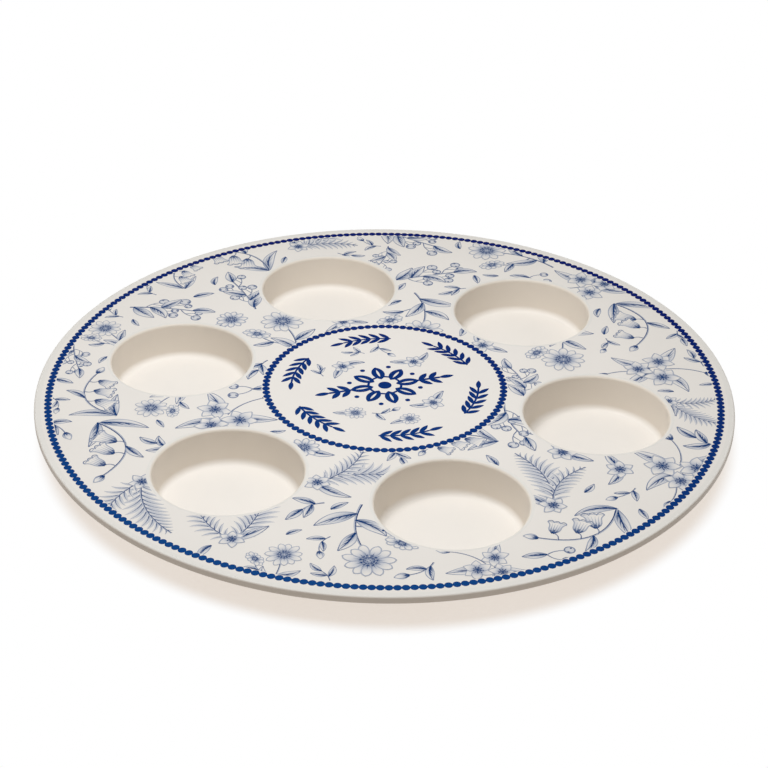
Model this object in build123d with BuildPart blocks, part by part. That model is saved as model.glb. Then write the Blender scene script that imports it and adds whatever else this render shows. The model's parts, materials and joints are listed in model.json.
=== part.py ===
# Seder plate: a round moulded plate with six wells, and a printed foil bonded into its deck.
# Millimetres, +Z up. The origin is on the table, under the middle of the plate.
from build123d import *

import os
from math import cos, degrees, pi, radians, sin, tan

# Deck and rim
PLATE_DIAMETER = 330.0
DECK_THICKNESS = 3.6
RIM_TOP_ROUND = 0.8
RIM_BOTTOM_ROUND = 1.0
RIM_LAND = 28.2  # deck from the plate's edge to the lip of a well

# Wells
WELL_COUNT = 6
FIRST_WELL = 90.0  # degrees from +X
WELL_MOUTH = 67.8  # inside diameter where the wall runs out into the deck
WELL_DEPTH = 17.8
WELL_DRAFT = 4.0  # degrees
WELL_WALL = 3.0
WELL_FLOOR = 3.0
LIP_ROUND = 1.5
FLOOR_ROUND = 3.0
ROOT_ROUND = 2.5  # outside of a well to the underside of the deck

# Foot ring under each well
FOOT_ROUND = 4.0
FOOT_LAND = 4.0
FOOT_RECESS = 0.6

# Printed foil, flush with the deck
FOIL_THICKNESS = 0.2
FOIL_EDGE_INSET = 3.0
FOIL_LIP_GAP = 0.6
FOIL_FIT = 0.05  # gap all round between the foil and its seat

# Rings of printed beads
INK_THICKNESS = 0.05
BEAD_PITCH = 3.5
BEAD_DIAMETER = 3.7
BEAD_LINK = 0.9  # width of the line under the beads
BORDER_INSET = 6.5  # plate's edge to the middle of the outer beads
MEDALLION_GAP = 9.5  # lip of a well to the middle of the inner beads

# Leaf sprig beside each well, bent along a circle inside the inner beads
SPRIG_INSET = 12.0
SPRIG_SPAN = 30.0  # degrees of stem
SPRIG_STEM = 1.0
SPRIG_PAIRS = 5
SPRIG_LEAF = 7.6
SPRIG_LEAF_HALF_WIDTH = 1.2
SPRIG_LEAF_SPREAD = 38.0  # degrees from the stem

# Rosette in the middle
ROSETTE_PETALS = 8
ROSETTE_RADIUS = 17.0
ROSETTE_PETAL = 11.4
ROSETTE_PETAL_HALF_WIDTH = 3.1
ROSETTE_SLIT = 6.6
ROSETTE_SLIT_HALF_WIDTH = 0.6
ROSETTE_EYE = 3.2
ROSETTE_RING_INSET = 2.2  # root of a petal to the middle of the ring
ROSETTE_RING_WIDTH = 1.2
ROSETTE_DOT = 2.4

# Leaf spray at the left and right of the rosette
SPRAY_REACH = 27.0  # middle of the plate to the leaf at the tip
SPRAY_STEM = 1.5
SPRAY_PAIRS = 2
SPRAY_LEAF = 7.5
SPRAY_LEAF_HALF_WIDTH = 1.4
SPRAY_LEAF_SPREAD = 44.0  # degrees from the stem

# Worked out from the sizes above
PLATE_RADIUS = PLATE_DIAMETER / 2
MOUTH_RADIUS = WELL_MOUTH / 2
LIP_RADIUS = MOUTH_RADIUS + LIP_ROUND
PITCH_RADIUS = PLATE_RADIUS - RIM_LAND - LIP_RADIUS
FLOOR_TOP = FOOT_RECESS + WELL_FLOOR
DECK_TOP = FLOOR_TOP + WELL_DEPTH
DECK_BOTTOM = DECK_TOP - DECK_THICKNESS
DRAFT_SLOPE = tan(radians(WELL_DRAFT))
FOIL_SEAT_RADIUS = PLATE_RADIUS - FOIL_EDGE_INSET
FOIL_HOLE_RADIUS = LIP_RADIUS + FOIL_LIP_GAP
BORDER_RADIUS = PLATE_RADIUS - BORDER_INSET
MEDALLION_RADIUS = PITCH_RADIUS - LIP_RADIUS - MEDALLION_GAP
SPRIG_RADIUS = MEDALLION_RADIUS - SPRIG_INSET
PETAL_START = ROSETTE_RADIUS - ROSETTE_PETAL
ROSETTE_RING_RADIUS = PETAL_START + ROSETTE_RING_INSET


def outside_radius(height):
    """Outside radius of a well at a height above the table."""
    return MOUTH_RADIUS + WELL_WALL - (DECK_TOP - height) * DRAFT_SLOPE


def foil_outline(gap):
    """Disc with a hole for each well, drawn in by a gap from its seat all round."""
    with BuildSketch(Plane.XY.offset(DECK_TOP - FOIL_THICKNESS)) as outline:
        Circle(FOIL_SEAT_RADIUS - gap)
        with PolarLocations(PITCH_RADIUS, WELL_COUNT, start_angle=FIRST_WELL):
            Circle(FOIL_HOLE_RADIUS + gap, mode=Mode.SUBTRACT)
    return outline.sketch


def bead_ring(radius):
    """Round beads in a ring, run together along a thin line."""
    bead_count = round(2 * pi * radius / BEAD_PITCH)
    with BuildSketch(Plane.XY.offset(DECK_TOP)) as ring:
        Circle(radius + BEAD_LINK / 2)
        Circle(radius - BEAD_LINK / 2, mode=Mode.SUBTRACT)
        with PolarLocations(radius, bead_count):
            Circle(BEAD_DIAMETER / 2)
    return ring.sketch


def leaf(length, half_width):
    """Pointed leaf along +X from the origin, made of two arcs."""
    with BuildSketch() as outline:
        with BuildLine():
            ThreePointArc((0, 0), (length / 2, half_width), (length, 0))
            ThreePointArc((length, 0), (length / 2, -half_width), (0, 0))
        make_face()
    return outline.sketch


# Outside of one well, with its foot ring, standing on the origin
foot_radius = outside_radius(0)
cup_top = (DECK_TOP + DECK_BOTTOM) / 2
with BuildPart() as cup:
    with BuildSketch(Plane.XZ) as cup_half:
        with BuildLine():
            Polyline((0, 0), (foot_radius, 0), (outside_radius(cup_top), cup_top), (0, cup_top), close=True)
        make_face()
        fillet(cup_half.vertices().group_by(Axis.Y)[0].sort_by(Axis.X)[-1], FOOT_ROUND)
    revolve(axis=Axis.Z)
    with BuildSketch():
        Circle(foot_radius - FOOT_ROUND - FOOT_LAND)
    extrude(amount=FOOT_RECESS, mode=Mode.SUBTRACT)

# Hollow of one well, up to the top of the deck
with BuildPart() as hollow:
    with BuildSketch(Plane.XZ) as hollow_half:
        floor_corner = (MOUTH_RADIUS - WELL_DEPTH * DRAFT_SLOPE, FLOOR_TOP)
        with BuildLine():
            Polyline((0, FLOOR_TOP), floor_corner, (MOUTH_RADIUS, DECK_TOP), (0, DECK_TOP), close=True)
        make_face()
        fillet(hollow_half.vertices().group_by(Axis.Y)[0].sort_by(Axis.X)[-1], FLOOR_ROUND)
    revolve(axis=Axis.Z)

# Moulded body: rounded deck, six wells hanging from it, and a shallow seat for the foil
foil_seat = foil_outline(0)
with BuildPart() as plate_body:
    with BuildSketch(Plane.XY.offset(DECK_BOTTOM)):
        Circle(PLATE_RADIUS)
    extrude(amount=DECK_THICKNESS)
    fillet(plate_body.faces().sort_by(Axis.Z)[-1].edges(), RIM_TOP_ROUND)
    fillet(plate_body.faces().sort_by(Axis.Z)[0].edges(), RIM_BOTTOM_ROUND)
    with PolarLocations(PITCH_RADIUS, WELL_COUNT, start_angle=FIRST_WELL):
        add(cup.part)
        add(hollow.part, mode=Mode.SUBTRACT)
    level_faces = plate_body.faces().filter_by(Axis.Z).group_by(Axis.Z)
    fillet(level_faces[-1].face().inner_wires().edges(), LIP_ROUND)
    level_faces = plate_body.faces().filter_by(Axis.Z).group_by(Axis.Z)
    fillet(level_faces[-2].face().inner_wires().edges(), ROOT_ROUND)
    extrude(foil_seat, amount=FOIL_THICKNESS, mode=Mode.SUBTRACT)

# Printed foil in its seat
foil_sheet = foil_outline(FOIL_FIT)
with BuildPart() as decal_foil:
    extrude(foil_sheet, amount=FOIL_THICKNESS)

# Rings of beads along the rim and round the middle
border_beads = bead_ring(BORDER_RADIUS)
with BuildPart() as outer_bead_border:
    extrude(border_beads, amount=INK_THICKNESS)

medallion_beads = bead_ring(MEDALLION_RADIUS)
with BuildPart() as inner_bead_ring:
    extrude(medallion_beads, amount=INK_THICKNESS)

# Six leaf sprigs, each with pairs of leaves along a bent stem and one leaf at its tip
sprig_start = -(SPRIG_SPAN + degrees(SPRIG_LEAF / SPRIG_RADIUS)) / 2
stem = CenterArc((0, 0), SPRIG_RADIUS, sprig_start, SPRIG_SPAN)
sprig_leaf = leaf(SPRIG_LEAF, SPRIG_LEAF_HALF_WIDTH)
with BuildSketch() as sprig:
    SlotArc(stem, SPRIG_STEM)
    for pair in range(SPRIG_PAIRS + 1):
        turn = sprig_start + SPRIG_SPAN * pair / SPRIG_PAIRS
        spreads = (-SPRIG_LEAF_SPREAD, SPRIG_LEAF_SPREAD) if pair < SPRIG_PAIRS else (0,)
        with Locations((SPRIG_RADIUS * cos(radians(turn)), SPRIG_RADIUS * sin(radians(turn)))):
            for spread in spreads:
                add(sprig_leaf, rotation=90 + turn + spread)
with BuildPart() as label_sprigs:
    with BuildSketch(Plane.XY.offset(DECK_TOP)):
        with PolarLocations(0, WELL_COUNT, start_angle=FIRST_WELL):
            add(sprig.sketch)
    extrude(amount=INK_THICKNESS)

# Spray to the right of the rosette, from the tip of a petal
spray_leaf = leaf(SPRAY_LEAF, SPRAY_LEAF_HALF_WIDTH)
spray_length = SPRAY_REACH - ROSETTE_RADIUS
with BuildSketch() as spray:
    with Locations((ROSETTE_RADIUS + spray_length / 2, 0)):
        SlotCenterToCenter(spray_length, SPRAY_STEM)
    for pair in range(SPRAY_PAIRS + 1):
        spreads = (-SPRAY_LEAF_SPREAD, SPRAY_LEAF_SPREAD) if pair < SPRAY_PAIRS else (0,)
        with Locations((ROSETTE_RADIUS + spray_length * pair / SPRAY_PAIRS, 0)):
            for spread in spreads:
                add(spray_leaf, rotation=spread)

# Rosette: slit petals joined by a ring, an eye in the middle, dots between the petals and two sprays
petal = leaf(ROSETTE_PETAL, ROSETTE_PETAL_HALF_WIDTH)
slit = leaf(ROSETTE_SLIT, ROSETTE_SLIT_HALF_WIDTH)
petal_turn = 360 / ROSETTE_PETALS
slit_start = ROSETTE_RADIUS - (ROSETTE_PETAL + ROSETTE_SLIT) / 2
with BuildPart() as centre_rosette:
    with BuildSketch(Plane.XY.offset(DECK_TOP)):
        Circle(ROSETTE_RING_RADIUS + ROSETTE_RING_WIDTH / 2)
        Circle(ROSETTE_RING_RADIUS - ROSETTE_RING_WIDTH / 2, mode=Mode.SUBTRACT)
        with PolarLocations(PETAL_START, ROSETTE_PETALS):
            add(petal)
        with PolarLocations(slit_start, ROSETTE_PETALS):
            add(slit, mode=Mode.SUBTRACT)
        with PolarLocations(ROSETTE_RADIUS, ROSETTE_PETALS, start_angle=petal_turn / 2):
            Circle(ROSETTE_DOT / 2)
        with PolarLocations(0, 2):
            add(spray.sketch)
        Circle(ROSETTE_EYE)
    extrude(amount=INK_THICKNESS)

os.makedirs("parts", exist_ok=True)
plate_body.part.label = "plate_body"
export_step(plate_body.part, "parts/plate_body.step")
decal_foil.part.label = "decal_foil"
export_step(decal_foil.part, "parts/decal_foil.step")
outer_bead_border.part.label = "outer_bead_border"
export_step(outer_bead_border.part, "parts/outer_bead_border.step")
inner_bead_ring.part.label = "inner_bead_ring"
export_step(inner_bead_ring.part, "parts/inner_bead_ring.step")
label_sprigs.part.label = "label_sprigs"
export_step(label_sprigs.part, "parts/label_sprigs.step")
centre_rosette.part.label = "centre_rosette"
export_step(centre_rosette.part, "parts/centre_rosette.step")
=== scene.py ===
import cmath
import json
import math
import random

import bmesh
import bpy
import numpy as np
from mathutils import Matrix, Vector


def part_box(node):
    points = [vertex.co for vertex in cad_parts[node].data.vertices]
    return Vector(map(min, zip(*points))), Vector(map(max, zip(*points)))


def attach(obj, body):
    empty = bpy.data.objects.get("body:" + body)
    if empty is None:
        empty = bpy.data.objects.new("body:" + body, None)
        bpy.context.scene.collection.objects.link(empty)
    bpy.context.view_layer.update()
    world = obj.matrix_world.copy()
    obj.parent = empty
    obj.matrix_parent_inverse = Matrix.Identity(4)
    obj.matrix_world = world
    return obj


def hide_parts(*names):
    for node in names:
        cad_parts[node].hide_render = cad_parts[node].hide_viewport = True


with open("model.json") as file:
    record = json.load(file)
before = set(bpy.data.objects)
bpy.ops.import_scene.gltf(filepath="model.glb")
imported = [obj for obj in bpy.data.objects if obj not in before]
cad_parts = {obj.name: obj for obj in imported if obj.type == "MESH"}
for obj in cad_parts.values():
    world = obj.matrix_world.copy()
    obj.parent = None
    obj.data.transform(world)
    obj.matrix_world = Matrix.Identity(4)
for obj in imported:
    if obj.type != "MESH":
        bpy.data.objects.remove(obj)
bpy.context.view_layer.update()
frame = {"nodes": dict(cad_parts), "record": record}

MM = 0.001

# Camera, solved from the bead rings and the well mouths in the photograph
IMAGE_SIZE = 768
FOCAL_PIXELS = 1952.2
SENSOR_MM = 36.0
CAMERA_AZIMUTH = math.radians(-17.08)
CAMERA_ELEVATION = math.radians(31.266)
CAMERA_ROLL = math.radians(0.771)
CAMERA_DISTANCE = 929.1 * MM
CAMERA_CLIP = 10 * MM
PLATE_CENTRE_PIXEL = (384.84, 385.2)

# Sizes of the moulding, in metres
DECK_THICKNESS = 3.6 * MM
RIM_TOP_ROUND = 0.8 * MM
RIM_BOTTOM_ROUND = 1.0 * MM
MOUTH_RADIUS = 33.9 * MM
WELL_DEPTH = 17.8 * MM
WELL_WALL = 3.0 * MM
WELL_DRAFT = math.radians(4.0)
LIP_ROUND = 1.5 * MM
FLOOR_ROUND = 3.0 * MM
ROOT_ROUND = 2.5 * MM
FOOT_ROUND = 4.0 * MM
FOOT_LAND = 4.0 * MM
FOOT_RECESS = 0.6 * MM
FOIL_LIP_GAP = 0.6 * MM
RIM_STEPS = 384
WELL_STEPS = 144
ARC_STEPS = 8
SHARP_EDGE = math.radians(40)

# Printed beads
BEAD_PITCH = 3.5 * MM
BEAD_RADIUS = 1.85 * MM
BEAD_HALF_LENGTH = 1.78 * MM
BEAD_LINK = 0.9 * MM
BEAD_STEPS = 9

# Printed flowers, drawn in millimetres on the deck
INK_GAP = 0.012 * MM
INK_LEVEL = 0.0005 * MM
INK_BODY = 0.01 * MM
PRINT_SEED = 11
PRINT_CELL = 1.0
PRINT_SPREAD = 2
PRINT_TRIES = 400
TEST_EVERY = 3
CUT_INSIDE = 0.7
PRINT_EDGE = 0.2
LEAST_FACE = 1e-4
LEAST_DISTANCE = 1e-6
MEDALLION_MARGIN = 1.0

# Strip along the rosette's sprays that stays free: its share of the rosette, and a grid of points
STRIP_SHARE = 0.5
STRIP_COLUMNS = 100
STRIP_ROWS = 40

# Outlines of drawn blades: a power that sets where they are widest, and one that sets how blunt they are
LEAF_SHAPE = (0.85, 0.9)
POINTED_PETAL = (0.8, 0.85)
ROUND_PETAL = (1.3, 0.55)
LEAFLET_SHAPE = (0.8, 0.8)
BLADE_COLUMNS = (-1, -0.5, 0, 0.5, 1)
POINT_HALF = 0.04
LEAFLET_POINT_HALF = 0.03

# Pens: width of a line in millimetres and strength of its ink, each at the start, the middle and the end
LEAF_VEIN = ((0.5, 0.32, 0.1), (1, 0.8, 0.3))
LEAF_EDGE = ((0.3, 0.4, 0.3), (0.75, 0.46, 0.85))
LEAF_RIB = ((0.8, 0.56, 0.2), (1, 0.95, 0.7))
PETAL_VEIN = ((0.44, 0.28, 0.08), (1, 0.75, 0.35))
PETAL_EDGE = ((0.3, 0.46, 0.3), (0.65, 0.46, 0.6))
STAMEN = ((0.34, 0.24, 0.2), (1, 0.9, 0.9))
BELL_VEIN = ((0.4, 0.28, 0.12), (0.95, 0.5, 0.35))
BELL_EDGE = ((0.36, 0.46, 0.36), (0.75, 0.48, 0.6))
BELL_LOBE_OUT = ((0.36, 0.44, 0.32), (0.75, 0.65, 0.85))
BELL_LOBE_BACK = ((0.32, 0.44, 0.36), (0.85, 0.65, 0.75))
BELL_MOUTH = ((0.24, 0.32, 0.24), (0.6, 0.5, 0.6))
BELL_SEPAL = ((0.9, 0.7, 0.12), (1, 0.85, 0.9))
BERRY_EDGE = ((0.44, 0.44, 0.44), (0.75, 0.75, 0.75))
BUD_FOLD = ((0.5, 0.36, 0.1), (1, 0.7, 0.5))
BUD_SEPAL = ((1, 0.8, 0.12), (1, 0.9, 0.9))
LEAFLET_RIB = ((0.3, 0.24, 0.1), (1, 0.8, 0.6))

# Dots of ink, by their radius
EYE_DOTS = 13
EYE_TURN = 2.4  # radians from one dot to the next
EYE_DOT = 0.22
STAMEN_DOT = 0.3
BERRY_CROWN = 0.36

# Light
WORLD_LEVEL = 0.3
WORLD_COLOUR = (1.0, 0.945, 0.875)
LAMP_SIZE = 0.3
LAMP_POWER = 2.1
LAMP_COLOUR = (0.97, 0.985, 1.0)
LAMP_PLACE = (-0.051, -0.021, 0.53)
FLOOR_BOUNCE = (0.65, 0.615, 0.605)
FLOOR_GLOW = (0.725, 0.645, 0.575)
FLOOR_SHADE = (0.3, 0.4, 0.49)
SHADOW_MIDDLE = (0.0032, 0.0061, 0)
SHADOW_REACH = 160 * MM
SHADOW_FADE = 10 * MM
FLOOR_REACH = 3.0

# Colours, linear
PAPER = (0.789, 0.757, 0.717)
MELAMINE = (0.81, 0.743, 0.66)
# Painted light: a paler colour for the floors of the wells, standing in for the light that falls on them
FLOOR_PAINTED_LIGHT = (0.862, 0.828, 0.782)
# Painted shade: a darker colour for the rim and the lips, standing in for the shade on their rounds
RIM_PAINTED_SHADE = (0.757, 0.738, 0.7)
INK_BLUE = (0.0003, 0.008, 0.124)
# Painted sheen: a lighter blue that the print turns to towards one side of the plate
INK_PAINTED_SHEEN = (0.005, 0.056, 0.22)
INK_LINE = (0.001, 0.036, 0.15)
INK_THIN = (0.01, 0.17, 0.46)

# Surfaces, with the scales of their noise per metre
NOISE_LOW = 0.3
NOISE_HIGH = 0.7
CLOUD_SCALE = 28
CLOUD_DARK = 0.985
CLOUD_PALE = 1.012
GLOSS_SCALE = 140
ROUGHNESS = (0.40, 0.50)
GRAIN_SCALE = 2600
GRAIN_STRENGTH = 0.05
GRAIN_HEIGHT = 0.05 * MM
SATIN_GLOSS = 0.2
INK_GLOSS = 0.01
# Depth below the top of the deck over which the painted shade of the rim and the lips lies
PAINTED_SHADE_DEPTH = 0.5 * MM
FILM_SCALE = 900
FILM_SPREAD = 0.1
# Side of the plate towards which the print is made lighter by a painted sheen
SHEEN_SIDE = (-0.55, -0.835, 0)
SHEEN_START = -0.7  # share of the border's radius where the painted sheen begins
DRAWN_SCALE = 1500
DRAWN_FILM = (0.9, 1.15)

deck_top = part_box("decal_foil")[1][2]
seat_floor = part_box("decal_foil")[0][2]
deck_bottom = deck_top - DECK_THICKNESS
floor_top = deck_top - WELL_DEPTH
plate_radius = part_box("plate_body")[1][0]
foil_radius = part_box("decal_foil")[1][0]
border_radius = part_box("outer_bead_border")[1][0] - BEAD_RADIUS
medallion_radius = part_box("inner_bead_ring")[1][0] - BEAD_RADIUS
hole_radius = MOUTH_RADIUS + LIP_ROUND + FOIL_LIP_GAP


def well_centres():
    """Middle of each well, from the boxes that the record keeps free in them."""
    centres = []
    for opening in frame["record"]["physics"]["openings"]:
        if opening["name"].startswith("well_") and opening["name"].endswith("_across"):
            low, high = opening["box_m"]
            centres.append(Vector(((low[0] + high[0]) / 2, (low[1] + high[1]) / 2, 0)))
    return centres


wells = well_centres()


def add_piece(name, mesh, material, node=None):
    """Links a mesh as a piece of the plate, in place of a CAD node where one is named."""
    piece = bpy.data.objects.new(name, mesh)
    bpy.context.collection.objects.link(piece)
    mesh.materials.append(material)
    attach(piece, "root")
    if node:
        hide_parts(node)
    return piece


# Materials


def new_material(name):
    """Node material, with its node tree and its shader."""
    material = bpy.data.materials.new(name)
    material.use_nodes = True
    tree = material.node_tree
    return material, tree, tree.nodes["Principled BSDF"]


def noise(tree, scale, detail, coordinates):
    """Noise over the given coordinates."""
    node = tree.nodes.new("ShaderNodeTexNoise")
    node.inputs["Scale"].default_value = scale
    node.inputs["Detail"].default_value = detail
    tree.links.new(coordinates, node.inputs["Vector"])
    return node.outputs["Fac"]


def remap(tree, value, low, high, start=NOISE_LOW, end=NOISE_HIGH):
    """Value from a span, the usual one of noise unless another is given, to low and high."""
    node = tree.nodes.new("ShaderNodeMapRange")
    node.inputs["From Min"].default_value = start
    node.inputs["From Max"].default_value = end
    node.inputs["To Min"].default_value = low
    node.inputs["To Max"].default_value = high
    tree.links.new(value, node.inputs["Value"])
    return node.outputs["Result"]


def mixed(tree, factor, first, second):
    """Colour between two colours or sockets."""
    node = tree.nodes.new("ShaderNodeMix")
    node.data_type = "RGBA"
    tree.links.new(factor, node.inputs["Factor"])
    for socket, value in ((node.inputs["A"], first), (node.inputs["B"], second)):
        if isinstance(value, tuple):
            socket.default_value = (*value, 1)
        else:
            tree.links.new(value, socket)
    return node.outputs["Result"]


def shade(colour, factor):
    """Colour made darker or lighter."""
    return tuple(channel * factor for channel in colour)


def cloudy(tree, coordinates, colour):
    """Colour that varies a little over the plate."""
    clouds = remap(tree, noise(tree, CLOUD_SCALE, 3, coordinates), 0, 1)
    return mixed(tree, clouds, shade(colour, CLOUD_DARK), shade(colour, CLOUD_PALE))


def satin_surface(tree, shader, gloss_level):
    """Moulded satin surface with uneven gloss and a fine grain. Returns the coordinates that it uses."""
    coordinates = tree.nodes.new("ShaderNodeTexCoord").outputs["Object"]
    gloss = noise(tree, GLOSS_SCALE, 4, coordinates)
    tree.links.new(remap(tree, gloss, *ROUGHNESS), shader.inputs["Roughness"])
    grain = noise(tree, GRAIN_SCALE, 2, coordinates)
    bump = tree.nodes.new("ShaderNodeBump")
    bump.inputs["Strength"].default_value = GRAIN_STRENGTH
    bump.inputs["Distance"].default_value = GRAIN_HEIGHT
    tree.links.new(grain, bump.inputs["Height"])
    tree.links.new(bump.outputs["Normal"], shader.inputs["Normal"])
    shader.inputs["Specular IOR Level"].default_value = gloss_level
    return coordinates


def sheet_material(name):
    """Off-white printed sheet, where it has no print."""
    material, tree, shader = new_material(name)
    coordinates = satin_surface(tree, shader, SATIN_GLOSS)
    tree.links.new(cloudy(tree, coordinates, PAPER), shader.inputs["Base Color"])
    return material


def melamine_material(name):
    """Warm off-white plastic, with painted light that makes the floors of the wells paler and painted
    shade that makes the rim and the lips darker.
    """
    material, tree, shader = new_material(name)
    coordinates = satin_surface(tree, shader, SATIN_GLOSS)
    parts = tree.nodes.new("ShaderNodeSeparateXYZ")
    tree.links.new(coordinates, parts.inputs["Vector"])
    height = parts.outputs["Z"]
    # Painted light: up to a round's height above the floor of a well the colour turns paler
    above_floor = remap(tree, height, 0, 1, floor_top, floor_top + FLOOR_ROUND)
    # Painted shade: within a small depth of the top of the deck, over the rim and the lips, the colour
    # turns darker
    near_top = remap(tree, height, 0, 1, deck_top - PAINTED_SHADE_DEPTH, deck_top)
    floors = cloudy(tree, coordinates, FLOOR_PAINTED_LIGHT)
    walls = cloudy(tree, coordinates, MELAMINE)
    below_top = mixed(tree, above_floor, floors, walls)
    painted_rim_shade = cloudy(tree, coordinates, RIM_PAINTED_SHADE)
    tree.links.new(mixed(tree, near_top, below_top, painted_rim_shade), shader.inputs["Base Color"])
    return material


def solid_ink_material(name):
    """Dark blue print with a slightly uneven film, and a painted sheen that makes it lighter towards one
    side of the plate.
    """
    material, tree, shader = new_material(name)
    coordinates = satin_surface(tree, shader, INK_GLOSS)
    place = tree.nodes.new("ShaderNodeVectorMath")
    place.operation = "DOT_PRODUCT"
    place.inputs[1].default_value = SHEEN_SIDE
    tree.links.new(coordinates, place.inputs[0])
    # Painted sheen towards one side, added to an uneven film at random
    film = tree.nodes.new("ShaderNodeMath")
    film.operation = "ADD"
    film.use_clamp = True
    painted_sheen = remap(tree, place.outputs["Value"], 0, 1, SHEEN_START * border_radius, border_radius)
    tree.links.new(painted_sheen, film.inputs[0])
    uneven = remap(tree, noise(tree, FILM_SCALE, 3, coordinates), -FILM_SPREAD, FILM_SPREAD)
    tree.links.new(uneven, film.inputs[1])
    tree.links.new(mixed(tree, film.outputs["Value"], INK_BLUE, INK_PAINTED_SHEEN), shader.inputs["Base Color"])
    return material


def drawn_ink_material(name):
    """Blue print whose strength each point of the drawing holds."""
    material, tree, shader = new_material(name)
    coordinates = satin_surface(tree, shader, INK_GLOSS)
    held = tree.nodes.new("ShaderNodeAttribute")
    held.attribute_name = "ink"
    film = remap(tree, noise(tree, DRAWN_SCALE, 3, coordinates), *DRAWN_FILM)
    strength = tree.nodes.new("ShaderNodeMath")
    strength.operation = "MULTIPLY"
    strength.use_clamp = True
    tree.links.new(held.outputs["Fac"], strength.inputs[0])
    tree.links.new(film, strength.inputs[1])
    ink = mixed(tree, strength.outputs["Value"], INK_THIN, INK_LINE)
    paper = cloudy(tree, coordinates, PAPER)
    tree.links.new(mixed(tree, strength.outputs["Value"], paper, ink), shader.inputs["Base Color"])
    return material


# Moulding and foil


def arc(radius, height, round_radius, start, end):
    """Points of a round in a profile, as (radius, height), from one angle to another in degrees."""
    points = []
    for step in range(ARC_STEPS + 1):
        angle = math.radians(start + (end - start) * step / ARC_STEPS)
        points.append((radius + round_radius * math.cos(angle), height + round_radius * math.sin(angle)))
    return points


def wall_radius(mouth, height):
    """Radius of a drafted well wall at a height."""
    return mouth - (deck_top - height) * math.tan(WELL_DRAFT)


def rim_profile():
    """From the seat of the foil over the rim to the underside of the deck."""
    upper = deck_top - RIM_TOP_ROUND
    lower = deck_bottom + RIM_BOTTOM_ROUND
    points = [(foil_radius, seat_floor), (foil_radius, deck_top)]
    points += arc(plate_radius - RIM_TOP_ROUND, upper, RIM_TOP_ROUND, 90, 0)
    points += arc(plate_radius - RIM_BOTTOM_ROUND, lower, RIM_BOTTOM_ROUND, 0, -90)
    return points


def fall(mouth, top, top_round, bottom, bottom_round):
    """Profile of a drafted wall that leaves one level in a round and meets a lower one in another."""
    draft = math.degrees(WELL_DRAFT)
    upper = top - top_round
    lower = bottom + bottom_round
    points = arc(
        wall_radius(mouth, upper) + top_round / math.cos(WELL_DRAFT), upper, top_round, 90, 180 - draft
    )
    points += arc(
        wall_radius(mouth, lower) - bottom_round / math.cos(WELL_DRAFT), lower, bottom_round, -draft, -90
    )
    return points


def ring(bm, centre, radius, height, steps):
    """Closed ring of vertices."""
    turns = (2 * math.pi * step / steps for step in range(steps))
    return [
        bm.verts.new((centre.x + radius * math.cos(turn), centre.y + radius * math.sin(turn), height))
        for turn in turns
    ]


def lathe(bm, centre, profile, steps, closed):
    """Turns a profile about an upright axis. Returns its first and last ring."""
    rings = [ring(bm, centre, radius, height, steps) for radius, height in profile]
    for upper, lower in zip(rings, rings[1:]):
        for step in range(steps):
            after = (step + 1) % steps
            bm.faces.new((upper[step], lower[step], lower[after], upper[after]))
    if closed:
        middle = bm.verts.new((centre.x, centre.y, profile[-1][1]))
        last = rings[-1]
        for step in range(steps):
            bm.faces.new((last[step], middle, last[(step + 1) % steps]))
    return rings[0], rings[-1]


def edges_of(bm, loop):
    """Edges round a ring of vertices."""
    return [
        bm.edges.get((vertex, loop[(index + 1) % len(loop)]))
        or bm.edges.new((vertex, loop[(index + 1) % len(loop)]))
        for index, vertex in enumerate(loop)
    ]


def fill_between(bm, loops):
    """Flat faces inside the first ring and outside the others."""
    edges = [edge for loop in loops for edge in edges_of(bm, loop)]
    bmesh.ops.triangle_fill(bm, edges=edges, use_beauty=True)


def finish_mesh(bm, name):
    """Mesh with outward normals, smooth but for its sharp edges."""
    bmesh.ops.recalc_face_normals(bm, faces=bm.faces)
    for face in bm.faces:
        face.smooth = True
    for edge in bm.edges:
        edge.smooth = len(edge.link_faces) == 2 and edge.calc_face_angle(0) < SHARP_EDGE
    mesh = bpy.data.meshes.new(name)
    bm.to_mesh(mesh)
    bm.free()
    return mesh


def moulding_mesh():
    """Deck, rim and six wells as one closed shell."""
    bm = bmesh.new()
    middle = Vector((0, 0, 0))
    seat_ring, under_ring = lathe(bm, middle, rim_profile(), RIM_STEPS, False)
    inside = [(hole_radius, seat_floor), (hole_radius, deck_top)]
    inside += fall(MOUTH_RADIUS, deck_top, LIP_ROUND, floor_top, FLOOR_ROUND)
    outside = fall(MOUTH_RADIUS + WELL_WALL, deck_bottom, ROOT_ROUND, 0, FOOT_ROUND)
    recess_radius = wall_radius(MOUTH_RADIUS + WELL_WALL, 0) - FOOT_ROUND - FOOT_LAND
    outside += [(recess_radius, 0), (recess_radius, FOOT_RECESS)]
    seat_loops = [seat_ring]
    under_loops = [under_ring]
    for centre in wells:
        seat_loops.append(lathe(bm, centre, inside, WELL_STEPS, True)[0])
        under_loops.append(lathe(bm, centre, outside, WELL_STEPS, True)[0])
    fill_between(bm, seat_loops)
    fill_between(bm, under_loops)
    return finish_mesh(bm, "plate_shell")


def foil_mesh():
    """Printed sheet in its seat, with a hole for each well."""
    bm = bmesh.new()
    edge = [(foil_radius, deck_top), (foil_radius, seat_floor)]
    top, bottom = lathe(bm, Vector((0, 0, 0)), edge, RIM_STEPS, False)
    tops = [top]
    bottoms = [bottom]
    for centre in wells:
        hole = [(hole_radius, deck_top), (hole_radius, seat_floor)]
        top, bottom = lathe(bm, centre, hole, WELL_STEPS, False)
        tops.append(top)
        bottoms.append(bottom)
    fill_between(bm, tops)
    fill_between(bm, bottoms)
    return finish_mesh(bm, "printed_foil")


def weigh_normals(piece):
    """Keeps the deck flat in shading beside its rounds."""
    modifier = piece.modifiers.new("flat_deck", "WEIGHTED_NORMAL")
    modifier.keep_sharp = True


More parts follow.
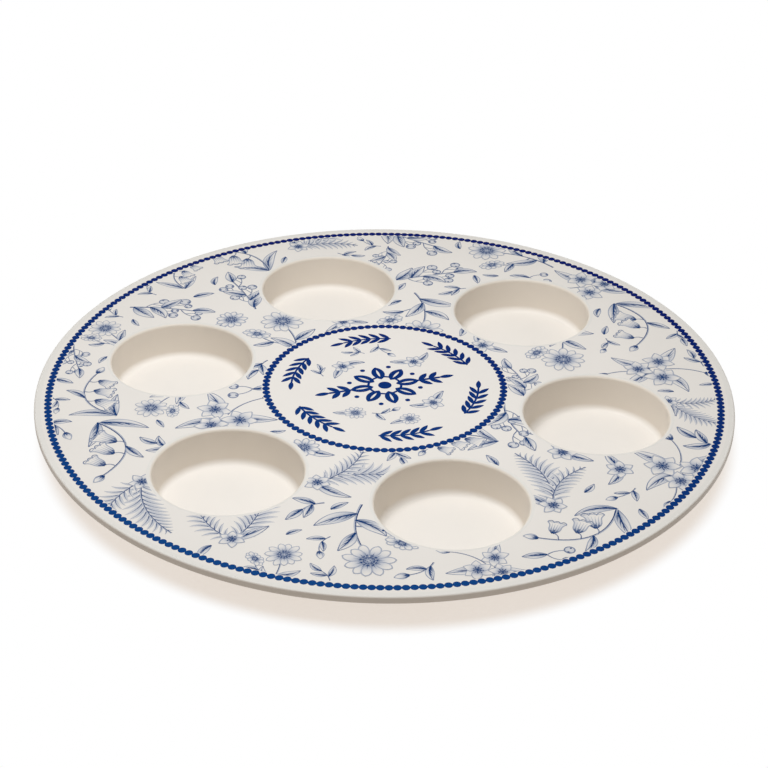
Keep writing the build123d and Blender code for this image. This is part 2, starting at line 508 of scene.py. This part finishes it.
def bead_mesh(name, radius, low, high):
    """Ring of beads that run together, as one closed flat band."""
    count = round(2 * math.pi * radius / BEAD_PITCH)
    neck = math.pi * radius / count
    offsets = [neck * math.sin(math.pi / 2 * (2 * step / BEAD_STEPS - 1)) for step in range(BEAD_STEPS)]
    bm = bmesh.new()
    sections = []
    for bead in range(count):
        for offset in offsets:
            turn = 2 * math.pi * bead / count + offset / radius
            half = max(BEAD_LINK / 2, BEAD_RADIUS * math.sqrt(1 - (offset / BEAD_HALF_LENGTH) ** 2))
            near = radius - half
            far = radius + half
            section = []
            for reach, height in ((near, high), (far, high), (far, low), (near, low)):
                section.append(bm.verts.new((reach * math.cos(turn), reach * math.sin(turn), height)))
            sections.append(section)
    for index, section in enumerate(sections):
        after = sections[(index + 1) % len(sections)]
        for corner in range(4):
            other = (corner + 1) % 4
            bm.faces.new((section[corner], section[other], after[other], after[corner]))
    return finish_mesh(bm, name)


# Drawing with ink. Points are complex numbers in millimetres.


def shares(count):
    """Evenly spaced numbers from 0 to 1."""
    return [index / (count - 1) for index in range(count)]


def along(path):
    """Unit direction at each point of a path."""
    last = len(path) - 1
    steps = [path[min(index + 1, last)] - path[max(index - 1, 0)] for index in range(len(path))]
    return [step / abs(step) for step in steps]


def bow(start, end, bulge, count):
    """Path of some points from start to end that bulges to its left by a share of its length."""
    control = (start + end) / 2 + 2j * bulge * (end - start)
    return [(1 - t) ** 2 * start + 2 * t * (1 - t) * control + t * t * end for t in shares(count)]


def between(values, share):
    """Value at a share of the way through a start, a middle and an end."""
    start, middle, end = values
    if share < 0.5:
        return start + (middle - start) * 2 * share
    return middle + (end - middle) * (2 * share - 1)


class Ink:
    """Drawing made of flat patches, each over the one before, with the strength of ink at each point."""

    def __init__(self):
        self.points = []
        self.levels = []
        self.tones = []
        self.faces = []
        self.level = 0

    def put(self, point, tone):
        self.points.append(point)
        self.levels.append(self.level)
        self.tones.append(min(1.0, max(0.0, tone)))
        return len(self.points) - 1

    def patch(self, rows, tones):
        """Patch from rows of points and the strength of ink at each."""
        self.level += 1
        placed = [[self.put(p, t) for p, t in zip(row, tone)] for row, tone in zip(rows, tones)]
        for row, after in zip(placed, placed[1:]):
            for column in range(len(row) - 1):
                self.faces.append((row[column], after[column], after[column + 1], row[column + 1]))

    def stroke(self, path, widths, tones):
        """Line along a path, with its width and strength at the start, middle and end."""
        rows = []
        strengths = []
        for point, way, share in zip(path, along(path), shares(len(path))):
            side = 0.5j * way * between(widths, share)
            rows.append((point - side, point + side))
            strengths.append((between(tones, share),) * 2)
        self.patch(rows, strengths)

    def disc(self, centre, radius, middle, edge, count):
        """Round spot with one strength in its middle and another at its edge."""
        self.level += 1
        hub = self.put(centre, middle)
        turns = [2 * math.pi * k / count for k in range(count)]
        rim = [self.put(centre + cmath.rect(radius, turn), edge) for turn in turns]
        for k in range(count):
            self.faces.append((hub, rim[k], rim[(k + 1) % count]))


def blade(rib, halves, columns):
    """Rows of points across a rib, at shares of its half width."""
    return [
        [point + 1j * way * half * column for column in columns]
        for point, way, half in zip(rib, along(rib), halves)
    ]


def swell(count, half, skew, blunt, least):
    """Half widths of a blade that swells from one point and narrows to another."""
    return [max(least, half * math.sin(math.pi * t**skew) ** blunt) for t in shares(count)]


def leaf(ink, rng, base, tip, width):
    """Pointed leaf with a shaded half, a strong rib and feathered veins."""
    side = rng.choice((-1, 1))
    rib = bow(base, tip, rng.uniform(-0.13, 0.13), 13)
    ways = along(rib)
    halves = swell(len(rib), width / 2, *LEAF_SHAPE, POINT_HALF)
    tones = []
    for t in shares(len(rib)):
        foot = 0.6 * (1 - t) ** 2.5
        row = []
        for column in BLADE_COLUMNS:
            inward = 1 - abs(column)
            shaded = 0.04 + 0.34 * inward * (1 - 0.4 * t)
            clear = 0.06 * inward
            row.append(foot + (shaded if column * side >= 0 else clear))
        tones.append(row)
    rows = blade(rib, halves, BLADE_COLUMNS)
    ink.patch(rows, tones)
    vein_widths, vein_tones = LEAF_VEIN
    for lit, reach, strong, starts in ((side, 0.75, 1, (1, 2, 4, 6)), (-side, 0.45, 0.6, (2, 5))):
        for start in starts:
            end = start + 4
            edge = rib[end] + 1j * ways[end] * halves[end] * lit * reach
            vein = bow(rib[start], edge, 0.06 * lit, 4)
            ink.stroke(vein, vein_widths, [tone * strong for tone in vein_tones])
    for edge in (0, -1):
        ink.stroke([row[edge] for row in rows], *LEAF_EDGE)
    ink.stroke(rib, *LEAF_RIB)


def petal(ink, rng, base, tip, width, pointed=False):
    """Petal, dark at its root, with an outline and a few veins."""
    rib = bow(base, tip, rng.uniform(-0.06, 0.06), 11)
    shape = POINTED_PETAL if pointed else ROUND_PETAL
    halves = swell(len(rib), width / 2, *shape, POINT_HALF)
    side = rng.choice((-1, 1))
    tones = []
    for t in shares(len(rib)):
        root = 0.9 * (1 - t) ** 2.4
        tones.append([root + 0.12 * max(0, column * side) ** 2 for column in BLADE_COLUMNS])
    rows = blade(rib, halves, BLADE_COLUMNS)
    ink.patch(rows, tones)
    for column, reach in ((1, 4), (3, 4), (2, 6)):
        ink.stroke([row[column] for row in rows[1:reach]], *PETAL_VEIN)
    outline = [row[0] for row in rows] + [row[-1] for row in reversed(rows)]
    ink.stroke(outline, *PETAL_EDGE)


def eye(ink, centre, radius):
    """Middle of a flower, packed with dots."""
    ink.disc(centre, radius, 0.4, 0.9, 16)
    for dot in range(EYE_DOTS):
        place = centre + cmath.rect(radius * math.sqrt((dot + 0.5) / EYE_DOTS), EYE_TURN * dot)
        ink.disc(place, EYE_DOT, 1.0, 0.95, 6)


def daisy(ink, rng, centre, radius, squash=1.0, tilt=0.0):
    """Open flower with many narrow petals, seen at a slant where squash is under 1."""
    count = 11
    start = rng.uniform(0, 1)
    lean = cmath.rect(1, tilt)

    def slant(point):
        turned = point / lean
        return centre + complex(turned.real, turned.imag * squash) * lean

    for k in list(range(0, count, 2)) + list(range(1, count, 2)):
        way = cmath.rect(1, start + 2 * math.pi * (k + rng.uniform(-0.12, 0.12)) / count)
        root = slant(way * radius * 0.2)
        tip = slant(way * radius * rng.uniform(0.93, 1.05))
        petal(ink, rng, root, tip, radius * 0.4)
    eye(ink, centre, radius * 0.24)


def star(ink, rng, centre, radius):
    """Six pointed petals with stamens."""
    start = rng.uniform(0, 1)
    for k in (0, 2, 4, 1, 3, 5):
        way = cmath.rect(1, start + math.pi / 3 * (k + rng.uniform(-0.08, 0.08)))
        tip = centre + way * radius * rng.uniform(0.92, 1.06)
        petal(ink, rng, centre + way * radius * 0.06, tip, radius * 0.66, pointed=True)
    stamens = 9
    for k in range(stamens):
        turn = start + 2 * math.pi * (k + 0.5) / stamens
        end = centre + cmath.rect(radius * rng.uniform(0.26, 0.36), turn)
        ink.stroke(bow(centre, end, 0.05, 4), *STAMEN)
        ink.disc(end, STAMEN_DOT, 1.0, 0.95, 7)
    ink.disc(centre, radius * 0.1, 1.0, 0.9, 10)


def bell(ink, rng, base, heading, size):
    """Hanging bell flower seen from its side."""
    way = cmath.rect(1, heading)
    steps = shares(12)
    places = (0, 0.14, 0.34, 0.7, 0.88, 1)
    widths = (0.07, 0.24, 0.33, 0.36, 0.43, 0.56)
    halves = [size * float(np.interp(t, places, widths)) for t in steps]
    rib = [base + way * size * t for t in steps]
    columns = (-1, -0.6, -0.2, 0.2, 0.6, 1)
    side = rng.choice((-1, 1))
    rows = blade(rib, halves, columns)
    mouth = rows[-1]
    lobes = [mouth[0]]
    for lobe in range(3):
        left = mouth[0] + (mouth[-1] - mouth[0]) * lobe / 3
        right = mouth[0] + (mouth[-1] - mouth[0]) * (lobe + 1) / 3
        lobes += [(left + right) / 2 + way * size * 0.2, right]
    tones = []
    for t in steps:
        root = 0.7 * (1 - t) ** 2.4
        tones.append([root + 0.22 * max(0, column * side) ** 1.6 for column in columns])
    ink.patch(rows, tones)
    for column in (1, 2, 3, 4):
        ink.stroke([row[column] for row in rows[1:11]], *BELL_VEIN)
    for edge in (0, -1):
        ink.stroke([row[edge] for row in rows], *BELL_EDGE)
    for lobe in range(0, 6, 2):
        ink.stroke(bow(lobes[lobe], lobes[lobe + 1], -0.16, 5), *BELL_LOBE_OUT)
        ink.stroke(bow(lobes[lobe + 1], lobes[lobe + 2], -0.16, 5), *BELL_LOBE_BACK)
    ink.stroke(bow(mouth[0], mouth[-1], -0.07, 7), *BELL_MOUTH)
    for turn in (-0.75, 0, 0.75):
        sepal = bow(base - way * 0.2, base + cmath.rect(size * 0.34, heading + turn), 0.1 * turn, 5)
        ink.stroke(sepal, *BELL_SEPAL)


def berry(ink, rng, centre, radius):
    """Round berry, shaded to one side, with a dark crown."""
    ink.disc(centre, radius, 0.14, 0.3, 16)
    dark = rng.uniform(0, 2 * math.pi)
    for ring_share in (0.86, 0.66, 0.46):
        reach = 1.1 * ring_share
        path = [centre + cmath.rect(radius * ring_share, dark + reach * (2 * t - 1)) for t in shares(7)]
        ink.stroke(path, (0.1, 0.5 * ring_share, 0.1), (0.6, 1, 0.6))
    rim = [centre + cmath.rect(radius, 2 * math.pi * t) for t in shares(17)]
    ink.stroke(rim, *BERRY_EDGE)
    ink.disc(centre + cmath.rect(radius * 0.62, dark + math.pi), BERRY_CROWN, 1.0, 0.95, 7)


def bud(ink, rng, base, heading, size):
    """Closed bud with folded petals and a dark calyx."""
    tip = base + cmath.rect(size, heading)
    petal(ink, rng, base, tip, size * 0.62, pointed=True)
    for turn in (-0.34, 0.3):
        fold = bow(base, base + cmath.rect(size * 0.8, heading + turn * 0.6), turn * 0.5, 6)
        ink.stroke(fold, *BUD_FOLD)
    for turn in (-0.6, 0, 0.6):
        sepal = bow(base, base + cmath.rect(size * 0.38, heading + turn), 0.15 * turn, 5)
        ink.stroke(sepal, *BUD_SEPAL)


def stem(ink, path, width):
    """Stem with a pale body and a dark shaded side."""
    ink.stroke(path, (width, 0.8 * width, 0.6 * width), (0.5, 0.42, 0.5))
    edge = [point - 0.3j * way * width for point, way in zip(path, along(path))]
    ink.stroke(edge, (0.46 * width, 0.4 * width, 0.34 * width), (1, 0.9, 1))


def leaf_from(ink, rng, path, share, side, length, width):
    """Leaf that springs from a stem at a share of its length."""
    index = round(share * (len(path) - 1))
    heading = cmath.phase(along(path)[index]) + side * rng.uniform(0.55, 0.95)
    leaf(ink, rng, path[index], path[index] + cmath.rect(length, heading), width)


# Sprays, each drawn upwards from the origin


def daisy_spray(ink, rng):
    """One open daisy, one seen at a slant, and leaves."""
    main = bow(0, complex(rng.uniform(-4, 4), 27), rng.uniform(0.06, 0.14), 17)
    side_start = main[7]
    side = bow(side_start, side_start + complex(13, 11), -0.14, 9)
    stem(ink, side, 0.7)
    stem(ink, main, 0.9)
    leaf_from(ink, rng, main, 0.16, 1, 15, 5.2)
    leaf_from(ink, rng, main, 0.3, -1, 13, 4.6)
    leaf_from(ink, rng, main, 0.55, 1, 11, 4)
    leaf_from(ink, rng, side, 0.45, -1, 8, 3)
    daisy(ink, rng, side[-1], 5.6, squash=0.55, tilt=0.6)
    daisy(ink, rng, main[-1] + 3j, 8.2)


def bell_spray(ink, rng):
    """Arching stem hung with bells, with long leaves at its foot."""
    main = bow(0, complex(20, 25), 0.26, 21)
    leaf(ink, rng, 0.5j, complex(-9, 15), 4.2)
    leaf(ink, rng, 0.2j, complex(12, 9), 3.8)
    stem(ink, main, 0.85)
    for index, size in ((9, 7.0), (13, 6.4), (17, 5.6)):
        start = main[index]
        hang = start + complex(rng.uniform(1.2, 2.6), -3.2)
        stem(ink, bow(start, hang, -0.2, 6), 0.5)
        bell(ink, rng, hang, -math.pi / 2 + rng.uniform(-0.1, 0.45), size)
    leaf_from(ink, rng, main, 0.5, 1, 9, 3)
    bud(ink, rng, main[-1], cmath.phase(along(main)[-1]), 4.6)


def berry_twig(ink, rng):
    """Forked twig with berries and oval leaves."""
    main = bow(0, complex(rng.uniform(-3, 3), 25), rng.uniform(-0.1, 0.1), 17)
    stem(ink, main, 0.85)
    for index, side in ((4, 1), (7, -1), (10, 1), (13, -1)):
        start = main[index]
        heading = cmath.phase(along(main)[index]) + side * rng.uniform(0.6, 0.9)
        end = start + cmath.rect(rng.uniform(6, 8), heading)
        twig = bow(start, end, 0.12 * side, 7)
        stem(ink, twig, 0.5)
        berry(ink, rng, end + cmath.rect(1.5, heading), rng.uniform(1.7, 2.1))
        fork = twig[3]
        spread = fork + cmath.rect(rng.uniform(3.6, 4.6), heading - side * 0.9)
        stem(ink, bow(fork, spread, 0, 4), 0.4)
        berry(ink, rng, spread + cmath.rect(1.2, heading - side * 0.9), rng.uniform(1.4, 1.7))
    leaf_from(ink, rng, main, 0.08, -1, 12, 5)
    leaf_from(ink, rng, main, 0.34, -1, 11, 4.6)
    leaf_from(ink, rng, main, 0.5, 1, 10, 4.2)
    leaf(ink, rng, main[-1], main[-1] + 9j + rng.uniform(-2, 2), 4)


def star_cluster(ink, rng):
    """Three star flowers set in leaves, with buds."""
    leaf(ink, rng, 2 + 2j, complex(15, 12), 5)
    leaf(ink, rng, -2 + 2j, complex(-16, 9), 5)
    leaf(ink, rng, -1j, complex(-7, -15), 4.6)
    leaf(ink, rng, 1 - 1j, complex(12, -11), 4.6)
    reach = bow(3j, complex(rng.uniform(1, 4), 19), 0.1, 9)
    stem(ink, reach, 0.6)
    bud(ink, rng, reach[-1], cmath.phase(along(reach)[-1]), 5.4)
    low = bow(3 - 2j, complex(5, -17), -0.1, 9)
    stem(ink, low, 0.6)
    bud(ink, rng, low[-1], cmath.phase(along(low)[-1]), 4.8)
    star(ink, rng, complex(-5.4, 2.4), 6.0)
    star(ink, rng, complex(5.6, 3.2), 6.4)
    star(ink, rng, complex(0.6, -5.4), 5.6)


def frond(ink, rng, base, tip, pairs):
    """Fern frond with paired leaflets."""
    rib = bow(base, tip, rng.choice((-1, 1)) * rng.uniform(0.08, 0.16), pairs + 3)
    length = abs(tip - base)
    ways = along(rib)
    for index in range(1, pairs + 2):
        share = index / (pairs + 2)
        size = length * 0.27 * math.sin(math.pi * (0.18 + 0.8 * share)) ** 0.9
        for side in (-1, 1):
            heading = cmath.phase(ways[index]) + side * (1.05 - 0.35 * share)
            path = bow(rib[index], rib[index] + cmath.rect(size, heading), -0.1 * side, 7)
            halves = swell(len(path), size * 0.14, *LEAFLET_SHAPE, LEAFLET_POINT_HALF)
            tones = [[0.36 - 0.2 * t, 0.5 - 0.35 * t, 0.1 - 0.05 * t] for t in shares(len(path))]
            ink.patch(blade(path, halves, (-1, 0, 1)), tones)
            ink.stroke(path, *LEAFLET_RIB)
    stem(ink, rib, 0.7)


def fern_spray(ink, rng):
    """Two fronds and a small star flower at their foot."""
    frond(ink, rng, 0, complex(6, 31), 11)
    frond(ink, rng, 0, complex(-15, 20), 8)
    leaf(ink, rng, 0, complex(11, 9), 3.8)
    star(ink, rng, 0.5j, 4.6)


def leaf_twig(ink, rng):
    """Short twig with three leaves."""
    main = bow(0, complex(rng.uniform(-2, 2), 8), 0.1, 9)
    stem(ink, main, 0.7)
    leaf_from(ink, rng, main, 0.4, 1, 8.5, 3.2)
    leaf_from(ink, rng, main, 0.55, -1, 8, 3)
    leaf(ink, rng, main[-1], main[-1] + complex(rng.uniform(-1.5, 1.5), 8), 3.2)


def bud_twig(ink, rng):
    """Bud on a bent stem with two leaves."""
    main = bow(0, complex(rng.uniform(2, 4), 11), rng.uniform(0.1, 0.16), 11)
    stem(ink, main, 0.65)
    leaf_from(ink, rng, main, 0.25, 1, 8, 3)
    leaf_from(ink, rng, main, 0.45, -1, 7, 2.6)
    bud(ink, rng, main[-1], cmath.phase(along(main)[-1]), 5.2)


def small_star(ink, rng):
    """Single star flower with two leaves."""
    leaf(ink, rng, 1, complex(9.5, 3), 3.2)
    leaf(ink, rng, -1, complex(-8, 5.5), 3)
    star(ink, rng, 0, 4.6)


def small_daisy(ink, rng):
    """Single daisy with a leaf."""
    leaf(ink, rng, -1j, complex(5, -9.5), 3.4)
    daisy(ink, rng, 0, 5.2)


def berry_pair(ink, rng):
    """Two berries and a leaf."""
    stem(ink, bow(0, complex(-2.4, 6), 0.12, 7), 0.5)
    stem(ink, bow(0, complex(2.6, 5), -0.12, 7), 0.5)
    leaf(ink, rng, 0, complex(1.5, -8), 3)
    berry(ink, rng, complex(-2.7, 7.2), 1.7)
    berry(ink, rng, complex(2.9, 6.2), 1.6)


def single_leaf(ink, rng):
    """One loose leaf."""
    leaf(ink, rng, 0, complex(rng.uniform(-1, 1), 8), 3)


class Field:
    """Part of the deck that is printed, and which cells of it are taken."""

    def __init__(self, inner, outer, least_inside):
        self.inner = inner
        self.outer = outer
        self.least_inside = least_inside
        self.well = hole_radius / MM + PRINT_EDGE
        self.wells = [complex(centre.x, centre.y) / MM for centre in wells]
        self.reach = math.ceil(2 * outer / PRINT_CELL)
        self.taken = np.zeros((2 * self.reach, 2 * self.reach), bool)

    def outside(self, points):
        """True for points that the print leaves free."""
        far = np.abs(points)
        free = (far < self.inner) | (far > self.outer)
        for centre in self.wells:
            free |= np.abs(points - centre) < self.well
        return free

    def trimmed(self, points):
        """Points with those outside drawn to the edge of the print."""
        far = np.maximum(np.abs(points), LEAST_DISTANCE)
        points = points * np.clip(far, self.inner, self.outer) / far
        for centre in self.wells:
            gone = np.maximum(np.abs(points - centre), LEAST_DISTANCE)
            points = centre + (points - centre) * np.maximum(gone, self.well) / gone
        return points

    def cells(self, points):
        """Column and row of the cell that each point lies in."""
        across = np.floor(points.real / PRINT_CELL).astype(int) + self.reach
        return across, np.floor(points.imag / PRINT_CELL).astype(int) + self.reach

    def claim(self, points):
        """Takes the cells of a spray and those next to them."""
        across, up = self.cells(points)
        steps = range(-PRINT_SPREAD, PRINT_SPREAD + 1)
        for step_across in steps:
            for step_up in steps:
                self.taken[across + step_across, up + step_up] = True


def place_spray(field, drawn, rng, smallest, largest):
    """First of many random places where a spray meets no other. None if there is none."""
    shape = drawn - drawn.mean()
    for _ in range(PRINT_TRIES):
        far = math.sqrt(rng.uniform(field.inner**2, field.outer**2))
        place = cmath.rect(far, rng.uniform(0, 2 * math.pi))
        turn = cmath.rect(rng.uniform(smallest, largest), rng.uniform(0, 2 * math.pi))
        points = place + turn * (np.conj(shape) if rng.random() < 0.5 else shape)
        thinned = points[::TEST_EVERY]
        printed = ~field.outside(thinned)
        if printed.mean() >= field.least_inside and not field.taken[field.cells(thinned[printed])].any():
            return points
    return None


def scatter(field, plan, rng, drawings):
    """Places sprays over a field and adds each to the drawing of its kind."""
    for spray, count, smallest, largest in plan:
        for _ in range(count):
            ink = Ink()
            spray(ink, rng)
            points = place_spray(field, np.array(ink.points), rng, smallest, largest)
            if points is None:
                continue
            outside = field.outside(points)
            field.claim(points[~outside])
            drawings.setdefault(spray.__name__, []).append((ink, field.trimmed(points), outside))


def print_mesh(name, drawing):
    """Mesh of all sprays of one kind, with the strength of ink at each point."""
    places = []
    tones = []
    faces = []
    for ink, points, outside in drawing:
        start = len(places)
        heights = deck_top + INK_GAP + INK_LEVEL * np.array(ink.levels)
        places += np.column_stack((points.real * MM, points.imag * MM, heights)).tolist()
        tones += ink.tones
        for face in ink.faces:
            corners = points[list(face)]
            area = np.imag(np.conj(corners) * np.roll(corners, -1)).sum() / 2
            if outside[list(face)].all() or abs(area) < LEAST_FACE:
                continue
            ordered = face if area > 0 else face[::-1]
            faces.append(tuple(start + corner for corner in ordered))
    mesh = bpy.data.meshes.new(name)
    mesh.from_pydata(places, [], faces)
    mesh.attributes.new("ink", "FLOAT", "POINT").data.foreach_set("value", tones)
    bm = bmesh.new()
    bm.from_mesh(mesh)
    bmesh.ops.delete(bm, geom=[vertex for vertex in bm.verts if not vertex.link_faces], context="VERTS")
    bm.to_mesh(mesh)
    bm.free()
    return mesh


def sprig_reach():
    """Distance in millimetres from the middle of the plate to the nearest point of the leaf sprigs."""
    sprigs = frame["nodes"]["label_sprigs"]
    return min(vertex.co.to_2d().length for vertex in sprigs.data.vertices) / MM


def print_flowers(material):
    """Flower print between the bead rings, and a few small sprays round the rosette."""
    rng = random.Random(PRINT_SEED)
    drawings = {}
    inner = (medallion_radius + BEAD_RADIUS) / MM + PRINT_EDGE
    outer = (border_radius - BEAD_RADIUS) / MM - PRINT_EDGE
    kinds = (daisy_spray, bell_spray, berry_twig, star_cluster, fern_spray)
    # Each entry is a spray, how many of it are tried, and its smallest and largest scale
    large = [(spray, 1, 1.25, 1.4) for spray in kinds]
    medium = [(spray, 1, 0.95, 1.1) for spray in kinds]
    small = [(small_daisy, 1, 1.3, 1.6), (small_star, 1, 1.3, 1.6), (bud_twig, 1, 1.2, 1.5)]
    small += [(berry_pair, 1, 1.2, 1.5), (leaf_twig, 2, 1.2, 1.5)]
    tiny = [(bud_twig, 12, 0.9, 1.1), (leaf_twig, 16, 0.9, 1.1), (single_leaf, 24, 0.9, 1.4)]
    scatter(Field(inner, outer, CUT_INSIDE), 5 * large + 6 * medium + 6 * small + tiny, rng, drawings)
    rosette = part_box("centre_rosette")[1] / MM
    middle = Field(rosette[1] + MEDALLION_MARGIN, sprig_reach() - MEDALLION_MARGIN, 1)
    columns = np.linspace(-rosette[0], rosette[0], STRIP_COLUMNS)
    rows = np.linspace(-STRIP_SHARE, STRIP_SHARE, STRIP_ROWS) * rosette[1]
    across, up = np.meshgrid(columns, rows)
    middle.claim((across + 1j * up).ravel())
    around = [(small_star, 3, 1.1, 1.2), (small_daisy, 2, 0.9, 1.0)]
    around += [(bud_twig, 4, 0.8, 0.95), (leaf_twig, 4, 0.7, 0.85)]
    scatter(middle, around, rng, drawings)
    for kind, drawing in drawings.items():
        name = "print_" + kind
        piece = add_piece(name, print_mesh(name, drawing), material)
        body = piece.modifiers.new("ink_body", "SOLIDIFY")
        body.thickness = INK_BODY
        body.offset = -1


# Stage


def make_camera():
    """Camera at the photograph's angle, with the middle of the deck at its pixel."""
    turn = Matrix.Rotation(CAMERA_AZIMUTH, 3, "Z")
    right = turn @ Vector((1, 0, 0))
    ahead = turn @ Vector((0, math.cos(CAMERA_ELEVATION), -math.sin(CAMERA_ELEVATION)))
    up = turn @ Vector((0, math.sin(CAMERA_ELEVATION), math.cos(CAMERA_ELEVATION)))
    rolled_right = math.cos(CAMERA_ROLL) * right + math.sin(CAMERA_ROLL) * up
    rolled_up = math.cos(CAMERA_ROLL) * up - math.sin(CAMERA_ROLL) * right
    across = (PLATE_CENTRE_PIXEL[0] - IMAGE_SIZE / 2) / FOCAL_PIXELS
    down = (PLATE_CENTRE_PIXEL[1] - IMAGE_SIZE / 2) / FOCAL_PIXELS
    to_plate = (ahead + across * rolled_right - down * rolled_up).normalized()
    place = Vector((0, 0, deck_top)) - CAMERA_DISTANCE * to_plate
    axes = Matrix((rolled_right, rolled_up, -ahead)).transposed().to_4x4()
    data = bpy.data.cameras.new("photo_camera")
    data.sensor_width = SENSOR_MM
    data.lens = FOCAL_PIXELS / IMAGE_SIZE * SENSOR_MM
    data.clip_start = CAMERA_CLIP
    camera = bpy.data.objects.new("photo_camera", data)
    camera.matrix_world = Matrix.Translation(place) @ axes
    bpy.context.collection.objects.link(camera)
    bpy.context.scene.camera = camera


def seen_rays(tree):
    """One for rays from the camera, a mirror or a lens, and none for rays that light the object."""
    path = tree.nodes.new("ShaderNodeLightPath")
    total = path.outputs["Is Camera Ray"]
    for kind in ("Is Glossy Ray", "Is Transmission Ray"):
        larger = tree.nodes.new("ShaderNodeMath")
        larger.operation = "MAXIMUM"
        tree.links.new(total, larger.inputs[0])
        tree.links.new(path.outputs[kind], larger.inputs[1])
        total = larger.outputs["Value"]
    return total


def blend(tree, factor, first, second):
    """Mix of two shaders."""
    mix = tree.nodes.new("ShaderNodeMixShader")
    tree.links.new(factor, mix.inputs["Fac"])
    tree.links.new(first, mix.inputs[1])
    tree.links.new(second, mix.inputs[2])
    return mix.outputs["Shader"]


def make_world():
    """Even pale light from all round, seen as white."""
    world = bpy.data.worlds.new("studio")
    bpy.context.scene.world = world
    world.use_nodes = True
    tree = world.node_tree
    lit = tree.nodes["Background"]
    lit.inputs["Color"].default_value = (*WORLD_COLOUR, 1)
    lit.inputs["Strength"].default_value = WORLD_LEVEL
    seen = tree.nodes.new("ShaderNodeBackground")
    seen.inputs["Color"].default_value = (1, 1, 1, 1)
    surface = blend(tree, seen_rays(tree), lit.outputs["Background"], seen.outputs["Background"])
    tree.links.new(surface, tree.nodes["World Output"].inputs["Surface"])


def make_lamp():
    """Wide soft lamp overhead, a little to the left."""
    data = bpy.data.lights.new("overhead", "AREA")
    data.shape = "DISK"
    data.size = LAMP_SIZE
    data.energy = LAMP_POWER
    data.color = LAMP_COLOUR
    lamp = bpy.data.objects.new("overhead", data)
    away = Vector(LAMP_PLACE)
    turn = away.to_track_quat("Z", "Y").to_matrix().to_4x4()
    lamp.matrix_world = Matrix.Translation(away) @ turn
    lamp.visible_camera = False
    bpy.context.collection.objects.link(lamp)


def away_from_shadow(tree):
    """None near the plate and one beyond the reach of its shadow."""
    coordinates = tree.nodes.new("ShaderNodeTexCoord").outputs["Object"]
    distance = tree.nodes.new("ShaderNodeVectorMath")
    distance.operation = "DISTANCE"
    distance.inputs[1].default_value = SHADOW_MIDDLE
    tree.links.new(coordinates, distance.inputs[0])
    fade = tree.nodes.new("ShaderNodeMapRange")
    fade.interpolation_type = "SMOOTHSTEP"
    fade.inputs["From Min"].default_value = SHADOW_REACH
    fade.inputs["From Max"].default_value = SHADOW_REACH + SHADOW_FADE
    tree.links.new(distance.outputs["Value"], fade.inputs["Value"])
    return fade.outputs["Result"]


def floor_material():
    """Plain pale floor, seen as white with a light warm shadow, that throws little light back."""
    material, tree, shader = new_material("pale_floor")
    tree.nodes.remove(shader)
    lit = tree.nodes.new("ShaderNodeBsdfDiffuse")
    lit.inputs["Color"].default_value = (*FLOOR_BOUNCE, 1)
    glow = tree.nodes.new("ShaderNodeEmission")
    glow.inputs["Color"].default_value = (*FLOOR_GLOW, 1)
    shaded = tree.nodes.new("ShaderNodeBsdfDiffuse")
    shaded.inputs["Color"].default_value = (*FLOOR_SHADE, 1)
    near = tree.nodes.new("ShaderNodeAddShader")
    tree.links.new(glow.outputs["Emission"], near.inputs[0])
    tree.links.new(shaded.outputs["BSDF"], near.inputs[1])
    white = tree.nodes.new("ShaderNodeEmission")
    white.inputs["Color"].default_value = (1, 1, 1, 1)
    seen = blend(tree, away_from_shadow(tree), near.outputs["Shader"], white.outputs["Emission"])
    surface = blend(tree, seen_rays(tree), lit.outputs["BSDF"], seen)
    tree.links.new(surface, tree.nodes["Material Output"].inputs["Surface"])
    return material


def make_floor():
    """Plain pale floor."""
    reach = FLOOR_REACH
    mesh = bpy.data.meshes.new("floor")
    corners = [(-reach, -reach, 0), (reach, -reach, 0), (reach, reach, 0), (-reach, reach, 0)]
    mesh.from_pydata(corners, [], [(0, 1, 2, 3)])
    mesh.materials.append(floor_material())
    floor = bpy.data.objects.new("floor", mesh)
    bpy.context.collection.objects.link(floor)


melamine = melamine_material("melamine")
paper = sheet_material("printed_sheet")
solid_ink = solid_ink_material("blue_ink")
drawn_ink = drawn_ink_material("drawn_ink")

shell = add_piece("plate_shell", moulding_mesh(), melamine, node="plate_body")
weigh_normals(shell)
add_piece("printed_foil", foil_mesh(), paper, node="decal_foil")
for name, radius, node in (
    ("border_beads", border_radius, "outer_bead_border"),
    ("medallion_beads", medallion_radius, "inner_bead_ring"),
):
    ink_low, ink_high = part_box(node)[0][2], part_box(node)[1][2]
    add_piece(name, bead_mesh(name, radius, ink_low, ink_high), solid_ink, node=node)
for node in ("label_sprigs", "centre_rosette"):
    for material_slot in frame["nodes"][node].material_slots:
        material_slot.material = solid_ink
print_flowers(drawn_ink)

make_camera()
make_world()
make_lamp()
make_floor()
bpy.context.scene.view_settings.view_transform = "Standard"
